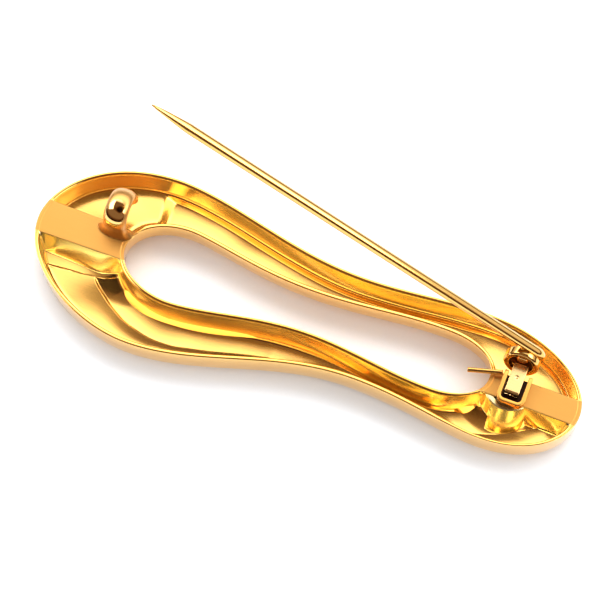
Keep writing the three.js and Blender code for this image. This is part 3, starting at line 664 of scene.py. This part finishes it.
for s in leaf_steps:
    rolled = max(0.0, 1 - s / LEAF_ROLL)
    top = LEAF_HEIGHT - LEAF_ROLL * (1 - math.sqrt(1 - rolled ** 2))
    low = LEAF_NOSE_LIFT if s > leaf_length - LEAF_NOSE else 0.0
    inset = 0.05 * max(0.0, 1 - min(s, leaf_length - s) / 0.06) ** 2
    half, low, top = LEAF_HALF - inset, low + inset, top - (inset if s > LEAF_ROLL else 0)
    ring = [(-half, low + 0.03), (-half + 0.03, low), (half - 0.03, low), (half, low + 0.03),
            (half, top - 0.07), (half - 0.008, top - 0.035), (half - 0.03, top - 0.01)]
    for u in top_across:
        away = math.hypot(u * (half - 0.07), s - PUNCH_ALONG)
        ring.append((u * (half - 0.07), top - PUNCH_DEPTH * math.exp(-(away / PUNCH_RADIUS) ** 2)))
    ring += [(-half + 0.03, top - 0.01), (-half + 0.008, top - 0.035), (-half, top - 0.07)]
    leaf_rows.append([(BOX_X + LEAF_SIDEWAYS + x - LOOP_MIDDLE[0], leaf_near + s - LOOP_MIDDLE[1],
                       SEAT_Z + z) for x, z in ring])
satin_leaf = gold_plate("satin gold plate on the leaf", "#f6c880", "#fcd28c", 0.24, 0.15, 0.3)
leaf = solid("leaf_tongue", [p for ring in leaf_rows for p in ring], capped(leaf_rows), satin_leaf)
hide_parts("hinge_leaf")
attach(leaf, "brooch")

# The rivet: a turned brass rivet, the hinge's axle. Its domed head sits in the bottom of the eye's
# cup, and its end was spun over at the back.
HINGE_X, HINGE_Z, CUP_DEPTH = 22.2, 5.4, 0.8
RIVET_RADIUS, HEAD_RADIUS, HEAD_THICKNESS, PLAY = 0.4, 0.65, 0.3, 0.15


def turned(profile, front_y, sides):
    """Rings about the hinge's axis from (radius, distance behind front_y) pairs."""
    ways = [(math.cos(2 * math.pi * k / sides), math.sin(2 * math.pi * k / sides)) for k in range(sides)]
    return [[(HINGE_X + r * c - LOOP_MIDDLE[0], front_y + y - LOOP_MIDDLE[1], HINGE_Z + r * s)
             for c, s in ways] for r, y in profile]


dome = [math.radians(a) for a in (2, 10, 20, 30, 40, 50, 60, 70, 78, 84, 88)]
rivet_profile = [(HEAD_RADIUS * math.sin(a), -PLAY - HEAD_THICKNESS * math.cos(a)) for a in dome]
rivet_profile += [
    (HEAD_RADIUS, -PLAY - 0.02), (HEAD_RADIUS - 0.02, -PLAY), (RIVET_RADIUS + 0.02, -PLAY),
    (RIVET_RADIUS, -PLAY + 0.02), (RIVET_RADIUS, 0.29), (RIVET_RADIUS - 0.02, 0.325),
    (RIVET_RADIUS - 0.06, 0.345), (0.1, 0.35), (0.02, 0.35)]
rivet_rings = turned(rivet_profile, EYE_FRONT_Y + CUP_DEPTH, 48)
worn_gold = gold_plate("turned gold plate on the rivet", "#e3a04c", "#f2b765", 0.16, 0.3, 0.3)
rivet = solid("rivet_turned", [p for ring in rivet_rings for p in ring], capped(rivet_rings), worn_gold)
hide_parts("rivet")
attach(rivet, "brooch")

# The pin: a drawn and straightened brass wire, ground to a long point. Its other end is bent over a
# stamped round eye with a cup in its face, and brazed to it. The whole is plated a paler gold.
WIRE_RADIUS, PIN_STRAIGHT, POINT_LENGTH, OPEN_ANGLE, PIN_Y = 0.5, 47.03, 4.2, 33.2, 3.2
NEEDLE_OFFSET, WRAP_RADIUS, WRAP_ANGLE = 1.86, 1.3, 82.0


def wire_nodes():
    """A tree that sweeps a round wire along a line, with a ground point and rounded ends."""
    tree = bpy.data.node_groups.new("drawn wire", "GeometryNodeTree")
    face = tree.interface
    face.new_socket("Geometry", in_out="INPUT", socket_type="NodeSocketGeometry")
    for name in ("Wire Radius", "Point Length", "Point Blunt", "Front Round", "Back Round"):
        face.new_socket(name, in_out="INPUT", socket_type="NodeSocketFloat")
    face.new_socket("Sides", in_out="INPUT", socket_type="NodeSocketInt")
    face.new_socket("Finish", in_out="INPUT", socket_type="NodeSocketMaterial")
    face.new_socket("Geometry", in_out="OUTPUT", socket_type="NodeSocketGeometry")
    given = node(tree, "NodeGroupInput").outputs
    line = node(tree, "GeometryNodeMeshToCurve", (("Mesh", given["Geometry"]),)).outputs["Curve"]
    known = {"along": node(tree, "GeometryNodeSplineParameter").outputs["Length"],
             "whole": node(tree, "GeometryNodeSplineLength").outputs["Length"],
             "point": given["Point Length"], "blunt": given["Point Blunt"],
             "front": given["Front Round"], "back": given["Back Round"]}

    # The wire's thickness along its length: the ground point's taper, times a quarter circle at
    # each end. A share of a length stays between 0 and 1.
    steps = [("from tip", "ADD", "along", "blunt"), ("ground", "ADD", "point", "blunt"),
             ("share", "DIVIDE", "from tip", "ground"), ("thickness", "POWER", "share", 0.65),
             ("behind", "SUBTRACT", "whole", "along")]
    for away, length in (("along", "front"), ("behind", "back")):
        steps += [("share", "DIVIDE", away, length), ("left", "SUBTRACT", 1.0, "share"),
                  ("square", "MULTIPLY", "left", "left"), ("full", "SUBTRACT", 1.0, "square"),
                  ("full", "MAXIMUM", "full", 0.01), ("round", "POWER", "full", 0.5),
                  ("thickness", "MULTIPLY", "thickness", "round")]
    for name, operation, a, b in steps:
        known[name] = node(tree, "ShaderNodeMath", ((0, known.get(a, a)), (1, known.get(b, b))),
                           operation=operation, use_clamp=operation == "DIVIDE").outputs[0]
    ring = node(tree, "GeometryNodeCurvePrimitiveCircle", (
        ("Resolution", given["Sides"]), ("Radius", given["Wire Radius"]))).outputs["Curve"]
    swept = node(tree, "GeometryNodeCurveToMesh", (
        ("Curve", line), ("Profile Curve", ring), ("Scale", known["thickness"]),
        ("Fill Caps", True))).outputs["Mesh"]
    smooth = node(tree, "GeometryNodeSetShadeSmooth", (("Geometry", swept),)).outputs["Geometry"]
    real = node(tree, "GeometryNodeRealizeInstances", (("Geometry", smooth),)).outputs["Geometry"]
    dressed = node(tree, "GeometryNodeSetMaterial", (("Geometry", real), ("Material", given["Finish"])))
    node(tree, "NodeGroupOutput", (("Geometry", dressed.outputs["Geometry"]),))
    return tree


drawn_wire = wire_nodes()


def wire_mesh(name, path, finish, **sizes):
    """The wire as a plain mesh, from points in millimetres and the tree's inputs by name."""
    mesh = bpy.data.meshes.new(name)
    mesh.from_pydata([tuple(c * MM for c in p) for p in path],
                     [(i, i + 1) for i in range(len(path) - 1)], [])
    line = bpy.data.objects.new(name, mesh)
    bpy.context.scene.collection.objects.link(line)
    sweep = line.modifiers.new("sweep", "NODES")
    sweep.node_group = drawn_wire
    values = {"Finish": finish, **{key.replace("_", " "): value for key, value in sizes.items()}}
    for socket in drawn_wire.interface.items_tree:
        if socket.in_out == "INPUT" and socket.name in values:
            sweep[socket.identifier] = values[socket.name]
    result = bpy.data.meshes.new_from_object(line.evaluated_get(bpy.context.evaluated_depsgraph_get()))
    line.modifiers.remove(sweep)
    bpy.data.objects.remove(line)
    return result


wire_gold = gold_plate("drawn wire, pale gold plate", "#ecb45e", "#f4bf6a", 0.09, 0.1, 0.2, 0.3)
open_way = np.array((-math.cos(math.radians(OPEN_ANGLE)), 0, math.sin(math.radians(OPEN_ANGLE))))
eye_middle = np.array((HINGE_X - LOOP_MIDDLE[0], PIN_Y - LOOP_MIDDLE[1], HINGE_Z))


def on_wrap(degrees):
    """A point of the bend over the eye, so many degrees past the end of the straight wire."""
    outwards, way = (np.array((math.cos(a), 0, math.sin(a)))
                     for a in (math.radians(90 - OPEN_ANGLE), math.radians(90 - OPEN_ANGLE - degrees)))
    return eye_middle + (NEEDLE_OFFSET - WRAP_RADIUS) * outwards + WRAP_RADIUS * way


ground_steps = (0, 0.01, 0.025, 0.05, 0.08, 0.13, 0.2, 0.3, 0.45, 0.65, 0.9, 1.2, 1.6, 2.0, 2.5, 3.0,
                3.5, 3.9, 4.1, 4.2, 4.3, 5.0)
pin_path = [on_wrap(0) + open_way * (PIN_STRAIGHT - s) for s in (*ground_steps, *range(7, 47, 2))]
pin_path += [on_wrap(a) for a in np.linspace(0, WRAP_ANGLE - 8, 22)]
pin_path += [on_wrap(WRAP_ANGLE + a) for a in (-6, -3.5, 0, 3, 6, 8.5, 10.5, 12, 13, 13.6)]
wire = wire_mesh("pin_wire", pin_path, wire_gold, Wire_Radius=WIRE_RADIUS * MM,
                 Point_Length=POINT_LENGTH * MM, Point_Blunt=0.2 * MM, Front_Round=0.06 * MM,
                 Back_Round=0.4 * MM, Sides=40)

# The eye's profile starts on the cup's floor and goes round by the face, the side, the back and the
# bore. The last number of each corner is the length of its round.
EYE_RADIUS, EYE_DEPTH, EYE_CHAMFER, CUP_RADIUS, BORE = 1.825, 1.0, 0.15, 1.275, 0.55
EYE_SKEW, EYE_FLAT = math.radians(12), 0.75
cup_floor = CUP_RADIUS * 0.85
eye_profile = rounded([
    (0.7, CUP_DEPTH, 0), (cup_floor, CUP_DEPTH, 0.1), (CUP_RADIUS, CUP_DEPTH * 0.7, 0.1),
    (CUP_RADIUS, 0.06, 0.04), (CUP_RADIUS + 0.08, 0.0, 0.05), (EYE_RADIUS - EYE_CHAMFER, 0.0, 0.06),
    (EYE_RADIUS, EYE_CHAMFER, 0.06), (EYE_RADIUS, EYE_DEPTH - EYE_CHAMFER, 0.06),
    (EYE_RADIUS - EYE_CHAMFER, EYE_DEPTH, 0.06), (BORE + 0.03, EYE_DEPTH, 0.03),
    (BORE, EYE_DEPTH - 0.03, 0.02), (BORE, CUP_DEPTH + 0.03, 0.02), (BORE + 0.03, CUP_DEPTH, 0)])


def skewed(p):
    """The eye is flat round its bore, and leans back outside it, so its cup faces a little up."""
    r = math.hypot(p[0] - eye_middle[0], p[2] - HINGE_Z)
    share = min(max((r - EYE_FLAT) / (cup_floor - EYE_FLAT), 0), 1)
    return p[0], p[1] + (p[2] - HINGE_Z) * share ** 2 * (3 - 2 * share) * math.tan(EYE_SKEW), p[2]


eye_rings = [[skewed(p) for p in ring] for ring in turned(eye_profile, EYE_FRONT_Y, 96)]
eye_faces = grid_faces(len(eye_rings), len(eye_rings[0]), True)
pin = solid("pin_and_eye", [p for ring in eye_rings for p in ring], eye_faces, wire_gold, painted_shade_brown)
# Painted shade: the faces inside the cup take the dark brown, for the shadow in its hollow.
for polygon in pin.data.polygons:
    x, y, z = polygon.center / MM
    in_cup = math.hypot(x - eye_middle[0], z - eye_middle[2]) < CUP_RADIUS - 0.02
    if in_cup and y < EYE_FRONT_Y + CUP_DEPTH + 0.3 - LOOP_MIDDLE[1]:
        polygon.material_index = 1
joined = bmesh.new()
joined.from_mesh(pin.data)
joined.from_mesh(wire)
joined.to_mesh(pin.data)
joined.free()
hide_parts("pin")
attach(pin, "pin")

# The stop wire: a short stiff wire soldered to the box's left side and cut off square over the
# opening, where it keeps the gathered cloth from the hinge.
STOP_RADIUS, STOP_LENGTH, STOP_YAW, STOP_Y, CONTACT_GAP = 0.25, 3.6, 16.0, 0.75, 0.1
stop_root = np.array((BOX_X - middle_out - BOX_WALL / 2 - CONTACT_GAP - LOOP_MIDDLE[0],
                      STOP_Y - LOOP_MIDDLE[1], SEAT_Z + BOX_HEIGHT / 2))
stop_way = np.array((math.cos(math.radians(STOP_YAW)), math.sin(math.radians(STOP_YAW)), 0))
stop_steps = (0, 0.01, 0.025, 0.05, 0.08, 0.5, 1.2, 2.0, 2.8, 3.4, 3.52, 3.56, 3.59, 3.6)
stop_path = [stop_root - stop_way * (STOP_LENGTH - s) for s in stop_steps]
stop_mesh = wire_mesh("stop_wire_cut", stop_path, wire_gold, Wire_Radius=STOP_RADIUS * MM,
                      Point_Length=0.0, Point_Blunt=0.1 * MM, Front_Round=0.06 * MM,
                      Back_Round=0.05 * MM, Sides=32)
stop = bpy.data.objects.new("stop_wire_cut", stop_mesh)
bpy.context.scene.collection.objects.link(stop)
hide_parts("stop_wire")
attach(stop, "brooch")

# The table top: plain white card, which the loop lies on. It is matt, so it shows soft shadows and
# no reflection. Its paper grain is about 0.3 mm.
card = bpy.data.materials.new("white card")
card.use_nodes = True
card.node_tree.nodes.clear()
spot = node(card.node_tree, "ShaderNodeTexCoord").outputs["Object"]
grain = node(card.node_tree, "ShaderNodeTexNoise", (
    ("Vector", spot), ("Scale", 3000.0), ("Detail", 3.0)))
paper = node(card.node_tree, "ShaderNodeMix", (
    ("Factor", grain.outputs["Fac"]), (6, colour("#f3f2f0")), (7, colour("#f7f6f5"))),
    data_type="RGBA")
matt = node(card.node_tree, "ShaderNodeBsdfDiffuse", (("Color", paper.outputs[2]),))
node(card.node_tree, "ShaderNodeOutputMaterial", (("Surface", matt.outputs["BSDF"]),))
bpy.ops.mesh.primitive_plane_add(size=1.2, location=(0, 0, 0))
table = bpy.context.object
table.name = "table_top"
table.data.materials.append(card)


# Two softboxes stand high at the left and at the right. They only make highlights on the gold: the
# card is lit by the white room alone.
def softbox(name, forwards, sideways, size, radiance):
    """A softbox half a metre away, so many degrees from the zenith to the near side and the right."""
    f, s = math.radians(forwards), math.radians(sideways)
    way = Vector((math.sin(s), -math.cos(s) * math.sin(f), math.cos(s) * math.cos(f)))
    upright = Vector((0, math.cos(f), math.sin(f)))
    light = bpy.data.lights.new(name, "AREA")
    light.shape = "RECTANGLE"
    light.size, light.size_y = size
    light.energy = radiance * math.pi * size[0] * size[1]
    lamp = bpy.data.objects.new(name, light)
    bpy.context.scene.collection.objects.link(lamp)
    lamp.location = way * 0.5
    lamp.rotation_mode = "QUATERNION"
    lamp.rotation_quaternion = Matrix((upright.cross(way), upright, way)).transposed().to_quaternion()
    lamp.visible_diffuse = False


softbox("left_softbox", forwards=4, sideways=-44, size=(0.24, 0.4), radiance=4.0)
softbox("right_softbox", forwards=4, sideways=44, size=(0.24, 0.4), radiance=4.0)

# The room: white behind the card, and bright over it at the back, so its shadows fall to the front.
# The gold sees a bright screen high at the back, a pale sweep round it, a dim ceiling, front and
# horizon, and a dark spot where the lens looks in. What is dim there is brown, not grey.
WHITE_BEHIND, CARD_LIGHT, CARD_LIGHT_BACK = 1.25, 1.15, 6.2
TOWARDS_LENS = (0.134, -0.350, 0.927)
world = bpy.data.worlds.new("studio")
bpy.context.scene.world = world
world.use_nodes = True
room = world.node_tree
ray = node(room, "ShaderNodeLightPath").outputs
way_from = node(room, "ShaderNodeTexCoord").outputs["Generated"]
way = node(room, "ShaderNodeSeparateXYZ", (("Vector", way_from),)).outputs
near_lens = node(room, "ShaderNodeVectorMath", (("Vector", way_from), (1, TOWARDS_LENS)),
                 operation="DOT_PRODUCT").outputs["Value"]

# Each light goes smoothly from one strength to another between two heights, or between two
# distances to the back. The strengths are then put together.
light = {}
for name, along, start, end, low, high in (
        ("ceiling", way["Z"], 0.78, 0.9, 0.95, 0.27), ("front", way["Y"], -0.5, -0.1, 0.34, 1.0),
        ("horizon", way["Z"], 0.08, 0.4, 0.12, 1.0), ("screen", way["Y"], 0.2, 0.44, 0.0, 2.2),
        ("screen foot", way["Z"], 0.4, 0.65, 0.0, 1.0), ("lens", near_lens, 0.93, 0.985, 1.0, 0.15),
        ("over card", way["Y"], 0.1, 0.45, 0.0, 1.0), ("card foot", way["Z"], 0.55, 0.8, 0.0, 1.0)):
    light[name] = node(room, "ShaderNodeMapRange", (
        ("Value", along), ("From Min", start), ("From Max", end), ("To Min", low), ("To Max", high)),
        interpolation_type="SMOOTHSTEP").outputs["Result"]
for name, operation, other in (
        ("ceiling", "MULTIPLY", "front"), ("ceiling", "MULTIPLY", "horizon"),
        ("screen", "MULTIPLY", "screen foot"), ("ceiling", "ADD", "screen"),
        ("ceiling", "MULTIPLY", "lens"), ("over card", "MULTIPLY", "card foot")):
    light[name] = node(room, "ShaderNodeMath", ((0, light[name]), (1, light[other])),
                       operation=operation).outputs[0]
seen, overhead = light["ceiling"], light["over card"]
on_card = node(room, "ShaderNodeMapRange", (
    ("Value", overhead), ("To Min", CARD_LIGHT), ("To Max", CARD_LIGHT_BACK))).outputs["Result"]
indoors = node(room, "ShaderNodeMix", ((0, ray["Is Glossy Ray"]), (2, on_card), (3, seen))).outputs[0]
strength = node(room, "ShaderNodeMix", ((0, ray["Is Camera Ray"]), (2, indoors), (3, WHITE_BEHIND)))
brightness = node(room, "ShaderNodeMapRange", (
    ("Value", seen), ("From Min", 0.05), ("From Max", 0.7)), interpolation_type="SMOOTHSTEP")
warm = node(room, "ShaderNodeMix", (
    ("Factor", brightness.outputs["Result"]), (6, colour("#d8924c")), (7, colour("#fffefc"))),
    data_type="RGBA")
tint = node(room, "ShaderNodeMix", (
    ("Factor", ray["Is Glossy Ray"]), (6, colour("#f3f8ff")), (7, warm.outputs[2])), data_type="RGBA")
background = room.nodes["Background"]
room.links.new(tint.outputs[2], background.inputs["Color"])
room.links.new(strength.outputs[0], background.inputs["Strength"])

# The camera stands where the photograph was taken from: 21 degrees to the right of the near side
# and 68 degrees above the table, 220 mm away. The lens's length is in pixels of a 600 pixel frame.
LENS_PIXELS, FRAME_PIXELS, SENSOR, DISTANCE = 2173.6, 600, 36.0, 220
azimuth, elevation = math.radians(21), math.radians(68)
back = Vector((math.sin(azimuth) * math.cos(elevation), -math.cos(azimuth) * math.cos(elevation),
               math.sin(elevation)))
camera = bpy.data.objects.new("camera", bpy.data.cameras.new("camera"))
bpy.context.scene.collection.objects.link(camera)
camera.data.sensor_width = SENSOR
camera.data.lens = SENSOR * LENS_PIXELS / FRAME_PIXELS
camera.data.clip_start = 0.01
target = Vector((-0.9354 - LOOP_MIDDLE[0], 0.9774 - LOOP_MIDDLE[1], RIM_TOP)) * MM
camera.location = target + back * DISTANCE * MM
camera.rotation_mode = "QUATERNION"
camera.rotation_quaternion = (-back).to_track_quat("-Z", "Y")
bpy.context.scene.camera = camera

bpy.context.scene.view_settings.view_transform = "Standard"
